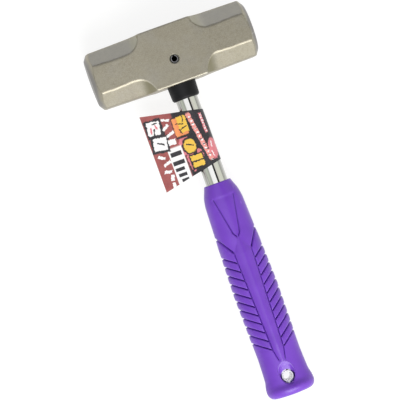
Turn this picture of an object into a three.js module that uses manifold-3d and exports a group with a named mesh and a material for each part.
// A pipe-handled, double-faced hammer: a forged octagonal head pinned to a plated steel tube,
// with a moulded rubber grip and a folded film label round the bare tube.
//
// Millimetres. X runs along the head, Y along the handle with the head at +Y, and Z is up.
// The hammer lies on one cheek of its head. The origin is on that surface, under the middle
// of the hammer's length and width.

import * as THREE from 'three';
import { mergeVertices } from 'three/addons/utils/BufferGeometryUtils.js';
import Module from 'manifold-3d';

const wasm = await Module();
wasm.setup();

// ---------------------------------------------------------------- driving sizes

// Clearance left between two pieces that touch on the real hammer.
const FIT = 0.1;

// Head.
const HEAD_LENGTH = 120;
const BLOCK_WIDTH = 42; // the square eye block, from cheek to cheek and from top to underside
const BLOCK_LENGTH = 37; // along the block's corners, between the chamfers' ends
const END_WIDTH = 40.4; // across the square flats of the octagon at a striking face
const END_CORNERS = 42.8; // across its 45-degree flats
const RUNOUT_RADIUS = 12.5; // the scoop that ends each corner chamfer
const FACE_DIAMETER = 32.6; // the flat of a striking face, inside its turned bevel
const BEVEL_DEGREES = 34; // the turned bevel, from the plane of the face
const EYE_MOUTH = 0.8; // chamfer round the eye, top and underside

// Spring pin through the cheeks.
const PIN_DIAMETER = 6;
const PIN_WALL = 1.1;
const PIN_SLOT = 1.2;
const PIN_DROP = 3.8; // from the head's centre line towards the grip
const PIN_RECESS = 0.4; // each end stands this far below its cheek
const PIN_MOUTH = 0.6; // chamfer round the pin's hole

// Tube, its core and its end plug.
const TUBE_DIAMETER = 15.9;
const TUBE_WALL = 1.4;
const TUBE_RECESS = 0.8; // below the top of the head
const TUBE_PAST_HOLE = 7.6; // from the hang hole's centre to the tube's lower end
const CORE_LENGTH = 32;
const PLUG_FLANGE = 1.2;
const PLUG_SPIGOT = 2.8;
const PLUG_WALL = 1.2;

// Bush: a sleeve in the eye, with a collar under the head.
const BUSH_WALL = 1.6;
const COLLAR_STEP = 0.75; // the collar's top edge, proud of the sleeve
const COLLAR_DRAFT = 0.5; // the collar's taper, on the radius
const COLLAR_LENGTH = 11.1;
const COLLAR_EDGE = 1.4;

const BARE_TUBE = 62.9; // tube in view between the collar and the grip

// Grip. Each section lies at a distance from the grip's top or from its butt, and stands
// proud of the tube by one wall at its sides and by another at its front and back.
const GRIP_LENGTH = 158.3;
const GRIP_SECTIONS = [
  { fromButt: 6, side: 9.65, face: 5.7 },
  { fromButt: 14, side: 8.2, face: 4.9 },
  { fromButt: 30, side: 7.45, face: 4.5 },
  { fromTop: 79, side: 8.15, face: 5.2 },
  { fromTop: 50, side: 7.2, face: 4.8 },
  { fromTop: 15, side: 5.9, face: 4.0 },
  { fromTop: 8, side: 4.8, face: 3.3 },
  { fromTop: 0.7, side: 2.0, face: 1.8 },
];
const GRIP_TOP_EDGE = 0.6;
const GRIP_BUTT_EDGE = 4.5;
const GRIP_BUTT_CROWN = 0.8;

// Grooves of the grip: barbs slope in to the two border lines of a central spine, like a feather.
const BARB_PITCH = 6.34;
const BARB_START = 51.9; // from the grip's top to the first barb's outer end
const BARB_STOP = 28.5; // the last barb's outer end stays this far from the hang hole, or more
const BARB_DEGREES = 35;
const BARB_WIDTH = 1.0;
const BARB_DEPTH = 0.9;
const SPINE_LINE_WIDTH = 0.8;
const SPINE_TOP_HALF_WIDTH = 6.6;
const SPINE_FOOT_HALF_WIDTH = 4.1;
const SPINE_TIP_HALF_WIDTH = 2.35;
const SPINE_TIP_LENGTH = 8.5;
const CREST_RISE = 14.4; // from the first barb's outer end up to the crest line's outer end
const CREST_FALL = 13.3; // from there down to the spine

// Arrow-shaped panel below the grip's top.
const PANEL_START = 10.6; // from the grip's top
const PANEL_LENGTH = 28.2;
const PANEL_TIP_LENGTH = 2.6;
const PANEL_HALF_WIDTH = 7.75;
const PANEL_TIP_HALF_WIDTH = 2.35;
const PANEL_DEPTH = 0.5;

// Hang hole through the grip and the tube, with a two-piece eyelet.
const HANG_HOLE_INSET = 14.1; // from the butt
const EYELET_BORE = 6;
const EYELET_WALL = 0.5;
const EYELET_FLANGE = 8.3;
const EYELET_FLANGE_HEIGHT = 0.8;
const EYELET_CLEARANCE = 0.8; // between the flange and the rubber round it
const SCOOP_SIDE = 0.6; // how far the scoop widens the hole at the grip's surface
const SCOOP_RISE = 4.7; // and how far it runs on towards the head there

// Folded film label.
const LABEL_FILM = 0.25;
const LABEL_FOLD_HEIGHT = 37.3; // along the tube, at its far side
const LABEL_EDGE_HEIGHT = 56.3; // along the free edge
const LABEL_REACH = 35.7; // from the tube's axis to the free edge
const LABEL_JOIN = 13.5; // from the tube's axis to where the two leaves meet
const LABEL_SHIFT = 2.15; // from the middle of the bare tube, towards the head

// Facets of round surfaces.
const ROUND = 48;
const SMALL_ROUND = 32;
const ARC_STEPS = 12; // of an extruded shape, for half its arc
const RUNOUT_STEPS = 5;
const GRIP_ROUND = 24;
const GRIP_ROWS = 16;

// ---------------------------------------------------------------- sizes that follow

const tubeRadius = TUBE_DIAMETER / 2;
const tubeBore = tubeRadius - TUBE_WALL;
const sleeveRadius = tubeRadius + FIT + BUSH_WALL;
const eyeRadius = sleeveRadius + FIT;
const pinRadius = PIN_DIAMETER / 2;
const pinHoleRadius = pinRadius + FIT;
const blockHalf = BLOCK_WIDTH / 2;
const blockCorner = blockHalf * Math.SQRT2;
const barrelRadius = EYELET_BORE / 2 + EYELET_WALL;
const hangHoleRadius = EYELET_FLANGE / 2 + EYELET_CLEARANCE;

// Places along the handle, from the eye's centre. Towards the grip is negative.
const collarEnd = -blockHalf - COLLAR_LENGTH;
const gripTop = collarEnd - BARE_TUBE;
const gripButt = gripTop - GRIP_LENGTH;
const hangHole = gripButt + HANG_HOLE_INSET;
const tubeTop = blockHalf - TUBE_RECESS;
const tubeEnd = hangHole - TUBE_PAST_HOLE;
const plugEnd = tubeEnd - FIT - PLUG_FLANGE;
const labelCentre = (collarEnd + gripTop) / 2 + LABEL_SHIFT;

// ---------------------------------------------------------------- tools

const AXIS = {
  x: new THREE.Matrix4().makeRotationZ(-Math.PI / 2),
  y: new THREE.Matrix4(),
  z: new THREE.Matrix4().makeRotationX(Math.PI / 2),
};

// A closed three.js geometry as a solid, once a matrix has placed it.
function solid(geometry, matrix = AXIS.y) {
  geometry.deleteAttribute('normal');
  geometry.deleteAttribute('uv');
  const merged = mergeVertices(geometry.applyMatrix4(matrix));
  return new wasm.Manifold(new wasm.Mesh({
    numProp: 3,
    vertProperties: merged.attributes.position.array,
    triVerts: new Uint32Array(merged.index.array),
  }));
}

// A solid as a named mesh with a finish of its own.
function piece(name, made, finish) {
  const { vertProperties, triVerts } = made.getMesh();
  const geometry = new THREE.BufferGeometry();
  geometry.setAttribute('position', new THREE.BufferAttribute(vertProperties, 3));
  geometry.setIndex(new THREE.BufferAttribute(triVerts, 1));
  geometry.computeVertexNormals();
  const mesh = new THREE.Mesh(geometry, new THREE.MeshStandardMaterial(finish));
  mesh.name = name;
  return mesh;
}

// A solid of revolution. Its profile lists pairs of a radius and a place along the axis.
function turned(profile, axis = AXIS.y, segments = ROUND) {
  const points = profile.map(([radius, place]) => new THREE.Vector2(radius, place));
  return solid(new THREE.LatheGeometry(points, segments), axis);
}

function cylinder(radius, from, to, axis = AXIS.y, segments = ROUND) {
  return turned([[0, from], [radius, from], [radius, to], [0, to]], axis, segments);
}

function ring(inner, outer, from, to, axis = AXIS.y, segments = ROUND) {
  return turned([[inner, from], [outer, from], [outer, to], [inner, to], [inner, from]], axis, segments);
}

function polygon(corners) {
  return new THREE.Shape(corners.map(([x, y]) => new THREE.Vector2(x, y)));
}

// A flat shape in XY, extruded along Z to a depth that is centred on the plane.
function plate(shape, depth, matrix, arcSteps = ARC_STEPS) {
  const geometry = new THREE.ExtrudeGeometry(shape, { depth, bevelEnabled: false, curveSegments: arcSteps });
  return solid(geometry.translate(0, 0, -depth / 2), matrix);
}

function joined(solids) {
  return solids.reduce((whole, next) => whole.add(next));
}

// The cut that takes the pin, through every piece it holds.
function pinHole() {
  return cylinder(pinHoleRadius, -BLOCK_WIDTH, BLOCK_WIDTH, AXIS.z, SMALL_ROUND).translate([0, -PIN_DROP, 0]);
}

// ---------------------------------------------------------------- head and pin

// A straight block in the middle, with ends that taper to the width of the octagon.
function forgingSide(matrix) {
  const end = [HEAD_LENGTH / 2, END_WIDTH / 2];
  const block = [BLOCK_LENGTH / 2, blockHalf];
  const signs = [[1, 1], [-1, 1], [-1, -1], [1, -1]];
  const outline = signs.flatMap(([sx, sy], corner) => {
    const pair = corner % 2 === 0 ? [end, block] : [block, end];
    return pair.map(([x, y]) => [sx * x, sy * y]);
  });
  return plate(polygon(outline), 2 * BLOCK_WIDTH, matrix);
}

// Flat striking faces inside conical bevels, turned about the head's length.
function faceTurning() {
  const face = FACE_DIAMETER / 2;
  const rim = blockCorner + 1;
  const end = HEAD_LENGTH / 2;
  const shoulder = end - (rim - face) * Math.tan(THREE.MathUtils.degToRad(BEVEL_DEGREES));
  return turned([[0, -end], [face, -end], [rim, -shoulder], [rim, shoulder], [face, end], [0, end]], AXIS.x);
}

// What is cut from one corner at one end: down to a flat, which a scoop ends against the block.
function cornerChamfer() {
  const flat = END_CORNERS / 2;
  const lift = RUNOUT_RADIUS - (blockCorner - flat);
  const run = Math.sqrt(RUNOUT_RADIUS ** 2 - Math.max(lift, 0) ** 2);
  const flatStart = BLOCK_LENGTH / 2 + run;
  const top = flat + RUNOUT_RADIUS + BLOCK_WIDTH;
  const shape = new THREE.Shape();
  shape.moveTo(flatStart, flat);
  shape.absarc(flatStart, flat + RUNOUT_RADIUS, RUNOUT_RADIUS, -Math.PI / 2, -Math.PI, true);
  shape.lineTo(flatStart - RUNOUT_RADIUS, top);
  shape.lineTo(HEAD_LENGTH, top);
  shape.lineTo(HEAD_LENGTH, flat);
  return plate(shape, 2 * BLOCK_WIDTH, AXIS.y, RUNOUT_STEPS);
}

// The eye, with a chamfer at the top and at the underside.
function eye() {
  const past = 1;
  const mouth = eyeRadius + EYE_MOUTH + past;
  const straight = blockHalf - EYE_MOUTH;
  const end = blockHalf + past;
  return turned([[0, -end], [mouth, -end], [eyeRadius, -straight], [eyeRadius, straight], [mouth, end], [0, end]]);
}

// The chamfer round the pin's hole in the upper cheek.
function pinMouth() {
  const past = 1;
  const floor = blockHalf - PIN_MOUTH;
  const cone = [[0, floor], [pinHoleRadius, floor], [pinHoleRadius + PIN_MOUTH + past, blockHalf + past],
    [0, blockHalf + past]];
  return turned(cone, AXIS.z, SMALL_ROUND).translate([0, -PIN_DROP, 0]);
}

function head() {
  const onItsSide = new THREE.Matrix4().makeRotationX(Math.PI / 2);
  const chamfer = cornerChamfer();
  const chamfers = [0, 180].flatMap((end) => (
    [45, 135, 225, 315].map((corner) => chamfer.rotate([0, end, 0]).rotate([corner, 0, 0]))
  ));
  return forgingSide().intersect(forgingSide(onItsSide)).intersect(faceTurning())
    .subtract(joined(chamfers))
    .subtract(eye())
    .subtract(pinHole())
    .subtract(pinMouth())
    .subtract(pinMouth().mirror([0, 0, 1]));
}

// A rolled pin: a tube with a slot down its side, which faces the top of the head.
function springPin() {
  const bore = pinRadius - PIN_WALL;
  const outerTurn = Math.asin(PIN_SLOT / 2 / pinRadius);
  const innerTurn = Math.asin(PIN_SLOT / 2 / bore);
  const up = Math.PI / 2;
  const around = up + 2 * Math.PI;
  const shape = new THREE.Shape();
  shape.absarc(0, 0, pinRadius, up + outerTurn, around - outerTurn, false);
  shape.absarc(0, 0, bore, around - innerTurn, up + innerTurn, true);
  return plate(shape, BLOCK_WIDTH - 2 * PIN_RECESS);
}

// ---------------------------------------------------------------- handle

function eyeBush() {
  const bore = tubeRadius + FIT;
  const collarTop = -blockHalf - FIT;
  const proud = sleeveRadius + COLLAR_STEP;
  const foot = proud - COLLAR_DRAFT;
  return turned([
    [bore, collarEnd], [foot - COLLAR_EDGE, collarEnd], [foot, collarEnd + COLLAR_EDGE],
    [proud, collarTop], [sleeveRadius, collarTop], [sleeveRadius, tubeTop], [bore, tubeTop], [bore, collarEnd],
  ]).subtract(pinHole());
}

function handleTube() {
  const eyeletHole = cylinder(barrelRadius + FIT, -TUBE_DIAMETER, TUBE_DIAMETER, AXIS.z, SMALL_ROUND);
  return ring(tubeBore, tubeRadius, tubeEnd, tubeTop)
    .subtract(pinHole())
    .subtract(eyeletHole.translate([0, hangHole, 0]));
}

// A solid rod that keeps the tube round where the pin crosses it.
function tubeCore() {
  return cylinder(tubeBore - FIT, tubeTop - CORE_LENGTH, tubeTop).subtract(pinHole());
}

// A cap whose hollow spigot sits in the tube's lower end.
function tubeEndPlug() {
  const seat = tubeEnd - FIT;
  const spigot = tubeBore - FIT;
  return turned([
    [0, plugEnd], [tubeRadius, plugEnd], [tubeRadius, seat], [spigot, seat], [spigot, seat + PLUG_SPIGOT],
    [spigot - PLUG_WALL, seat + PLUG_SPIGOT], [spigot - PLUG_WALL, seat], [0, seat],
  ]);
}

// The eyelet's front half: a barrel through the tube, with its flange on the tube's crown.
function hangEyelet() {
  const bore = EYELET_BORE / 2;
  const rim = EYELET_FLANGE / 2;
  const seat = tubeRadius + FIT;
  const end = seat + EYELET_FLANGE_HEIGHT;
  return turned([
    [bore, -end], [barrelRadius, -end], [barrelRadius, seat], [rim, seat], [rim, end], [bore, end], [bore, -end],
  ], AXIS.z, SMALL_ROUND);
}

// The washer that the barrel's end closes on, at the back of the tube.
function eyeletWasher() {
  const seat = -tubeRadius - FIT;
  return ring(barrelRadius + FIT, EYELET_FLANGE / 2, seat - EYELET_FLANGE_HEIGHT, seat, AXIS.z, SMALL_ROUND);
}

// ---------------------------------------------------------------- grip

// Half the grip's width as x and half its depth as z, at places y from the butt to the top.
function gripProfile() {
  const sections = GRIP_SECTIONS.map(({ fromTop, fromButt, side, face }) => {
    const place = fromTop === undefined ? gripButt + fromButt : gripTop - fromTop;
    return new THREE.Vector3(tubeRadius + side, place, tubeRadius + face);
  });
  const [heel] = sections;
  const foot = gripButt + GRIP_BUTT_CROWN;
  const buttEdge = [0, 1, 2, 3].map((step) => {
    const turn = (step * Math.PI) / 8;
    const back = GRIP_BUTT_EDGE * (1 - Math.sin(turn));
    return new THREE.Vector3(heel.x - back, foot + (heel.y - foot) * (1 - Math.cos(turn)), heel.z - back);
  });
  const body = new THREE.CatmullRomCurve3(sections, false, 'centripetal').getPoints(GRIP_ROWS);
  const neck = sections[sections.length - 1];
  const rim = new THREE.Vector3(neck.x - GRIP_TOP_EDGE, gripTop, neck.z - GRIP_TOP_EDGE);
  return [new THREE.Vector3(0, gripButt, 0), ...buttEdge, ...body, rim, new THREE.Vector3(0, gripTop, 0)];
}

// The grip's closed oval skin, with every section smaller all round by an inset.
function gripSkin(inset = 0) {
  const profile = gripProfile();
  const halfWidth = ({ x }) => Math.max(x - inset, 0);
  const halfDepth = ({ z }) => Math.max(z - inset, 0);
  const geometry = new THREE.LatheGeometry(profile.map((p) => new THREE.Vector2(halfWidth(p), p.y)), GRIP_ROUND);
  const { position } = geometry.attributes;
  for (let i = 0; i < position.count; i++) {
    const section = profile[i % profile.length];
    if (section.x > 0) position.setZ(i, position.getZ(i) * (halfDepth(section) / halfWidth(section)));
  }
  return solid(geometry);
}

// A straight stroke in XY, cut right through along Z.
function stroke([x1, y1], [x2, y2], width) {
  const length = Math.hypot(x2 - x1, y2 - y1);
  const half = width / 2;
  const bar = plate(polygon([[0, -half], [length, -half], [length, half], [0, half]]), BLOCK_WIDTH);
  const turn = THREE.MathUtils.radToDeg(Math.atan2(y2 - y1, x2 - x1));
  return bar.rotate([0, 0, turn]).translate([x1, y1, 0]);
}

// The barbs, the crest line and the spine's border line of the right-hand side.
function featherStrokes() {
  const slope = Math.tan(THREE.MathUtils.degToRad(BARB_DEGREES));
  const outside = tubeRadius + Math.max(...GRIP_SECTIONS.map(({ side }) => side));
  const firstBarb = gripTop - BARB_START;
  const count = Math.max(Math.floor((firstBarb - hangHole - BARB_STOP) / BARB_PITCH) + 1, 1);
  const crestEnd = [SPINE_TOP_HALF_WIDTH, firstBarb + CREST_RISE - CREST_FALL - BARB_PITCH / 2];
  const lastBarb = firstBarb - (count - 1) * BARB_PITCH;
  const foot = [SPINE_FOOT_HALF_WIDTH, lastBarb - (outside - SPINE_FOOT_HALF_WIDTH) * slope];
  const tip = [SPINE_TIP_HALF_WIDTH, foot[1] - SPINE_TIP_LENGTH];
  const strokes = [
    stroke([outside, firstBarb + CREST_RISE], crestEnd, SPINE_LINE_WIDTH),
    stroke(crestEnd, foot, SPINE_LINE_WIDTH),
    stroke(foot, tip, SPINE_LINE_WIDTH),
  ];
  for (let barb = 0; barb < count; barb++) {
    const y = firstBarb - barb * BARB_PITCH;
    const share = count > 1 ? barb / (count - 1) : 0;
    const x = THREE.MathUtils.lerp(SPINE_TOP_HALF_WIDTH, SPINE_FOOT_HALF_WIDTH, share);
    strokes.push(stroke([outside, y], [x, y - (outside - x) * slope], BARB_WIDTH));
  }
  return joined(strokes);
}

function panelOutline() {
  const top = gripTop - PANEL_START;
  const shoulder = top - PANEL_LENGTH;
  return polygon([[PANEL_HALF_WIDTH, top], [-PANEL_HALF_WIDTH, top], [-PANEL_TIP_HALF_WIDTH, shoulder],
    [0, shoulder - PANEL_TIP_LENGTH], [PANEL_TIP_HALF_WIDTH, shoulder]]);
}

// The scoop round the hang hole at the front: from the hole's circle on the tube's crown
// to a longer oval at the grip's surface, and on past it at the same slope.
function hangScoop() {
  const surface = gripProfile().reduce((nearest, p) => (
    Math.abs(p.y - hangHole) < Math.abs(nearest.y - hangHole) ? p : nearest
  )).z;
  const depth = surface - tubeRadius;
  const geometry = new THREE.CylinderGeometry(hangHoleRadius, hangHoleRadius, 2 * depth, SMALL_ROUND);
  geometry.applyMatrix4(AXIS.z).translate(0, 0, tubeRadius + depth);
  const { position } = geometry.attributes;
  for (let i = 0; i < position.count; i++) {
    const share = (position.getZ(i) - tubeRadius) / depth;
    const wider = 1 + (SCOOP_SIDE / hangHoleRadius) * share;
    const longer = 1 + ((SCOOP_RISE / 2) / hangHoleRadius) * share;
    position.setX(i, position.getX(i) * wider);
    position.setY(i, position.getY(i) * longer + (SCOOP_RISE / 2) * share);
  }
  return solid(geometry).translate([0, hangHole, 0]);
}

function grip() {
  const right = featherStrokes();
  const feather = right.add(right.mirror([1, 0, 0])).subtract(gripSkin(BARB_DEPTH));
  const panel = plate(panelOutline(), BLOCK_WIDTH).subtract(gripSkin(PANEL_DEPTH));
  const bore = cylinder(tubeRadius + FIT, plugEnd - FIT, gripTop + 1);
  const hole = cylinder(hangHoleRadius, -BLOCK_WIDTH, BLOCK_WIDTH, AXIS.z, SMALL_ROUND);
  const scoop = hangScoop();
  return gripSkin()
    .subtract(feather)
    .subtract(panel)
    .subtract(bore)
    .subtract(hole.translate([0, hangHole, 0]))
    .subtract(scoop)
    .subtract(scoop.mirror([0, 0, 1]));
}

// ---------------------------------------------------------------- label

// A drop in XZ round the tube: a circle and the two tangents that meet at its point.
function drop(radius, point) {
  const turn = Math.acos(radius / point);
  const shape = new THREE.Shape();
  shape.absarc(0, 0, radius, Math.PI + turn, 3 * Math.PI - turn, false);
  shape.lineTo(-point, 0);
  return shape;
}

// One film folded round the tube, its two leaves glued together from the join outwards.
function flagLabel() {
  const bore = tubeRadius + FIT;
  const outer = bore + LABEL_FILM;
  const alongY = new THREE.Matrix4().makeRotationX(Math.PI / 2);
  const leaf = polygon([[-LABEL_REACH, -LABEL_FILM], [-LABEL_JOIN, -LABEL_FILM], [-LABEL_JOIN, LABEL_FILM],
    [-LABEL_REACH, LABEL_FILM]]);
  const film = plate(drop(outer, (LABEL_JOIN * outer) / bore), LABEL_EDGE_HEIGHT, alongY)
    .add(plate(leaf, LABEL_EDGE_HEIGHT, alongY))
    .subtract(plate(drop(bore, LABEL_JOIN), 2 * LABEL_EDGE_HEIGHT, alongY));
  const fold = [outer, LABEL_FOLD_HEIGHT / 2];
  const edge = [-LABEL_REACH, LABEL_EDGE_HEIGHT / 2];
  const outline = polygon([fold, edge, [edge[0], -edge[1]], [fold[0], -fold[1]]]);
  return film.intersect(plate(outline, BLOCK_WIDTH));
}

// ---------------------------------------------------------------- assembly

const STEEL = { color: 0x9b9487, roughness: 0.45, metalness: 0.85 };
const CHROME = { color: 0xd8d8da, roughness: 0.12, metalness: 1 };
const ZINC = { color: 0xb9bcc2, roughness: 0.3, metalness: 1 };
const BLACK_NYLON = { color: 0x1d1d21, roughness: 0.5, metalness: 0 };
const PURPLE_RUBBER = { color: 0x6e3cb4, roughness: 0.6, metalness: 0 };
const PRINTED_FILM = { color: 0x96464a, roughness: 0.35, metalness: 0 };

// Every piece, with its own place from the eye's centre.
const pieces = [
  [piece('hammer_head', head(), STEEL), [0, 0, 0]],
  [piece('spring_pin', springPin(), ZINC), [0, -PIN_DROP, 0]],
  [piece('eye_bush', eyeBush(), BLACK_NYLON), [0, 0, 0]],
  [piece('handle_tube', handleTube(), CHROME), [0, 0, 0]],
  [piece('tube_core', tubeCore(), STEEL), [0, 0, 0]],
  [piece('tube_end_plug', tubeEndPlug(), BLACK_NYLON), [0, 0, 0]],
  [piece('hang_eyelet', hangEyelet(), ZINC), [0, hangHole, 0]],
  [piece('eyelet_washer', eyeletWasher(), ZINC), [0, hangHole, 0]],
  [piece('grip', grip(), PURPLE_RUBBER), [0, 0, 0]],
  [piece('flag_label', flagLabel(), PRINTED_FILM), [0, labelCentre, 0]],
];

const hammer = new THREE.Group();
hammer.position.set(0, -(blockHalf + gripButt) / 2, blockHalf);
for (const [mesh, place] of pieces) {
  mesh.position.set(...place);
  hammer.add(mesh);
}

const root = new THREE.Group();
root.add(hammer);

export default root;
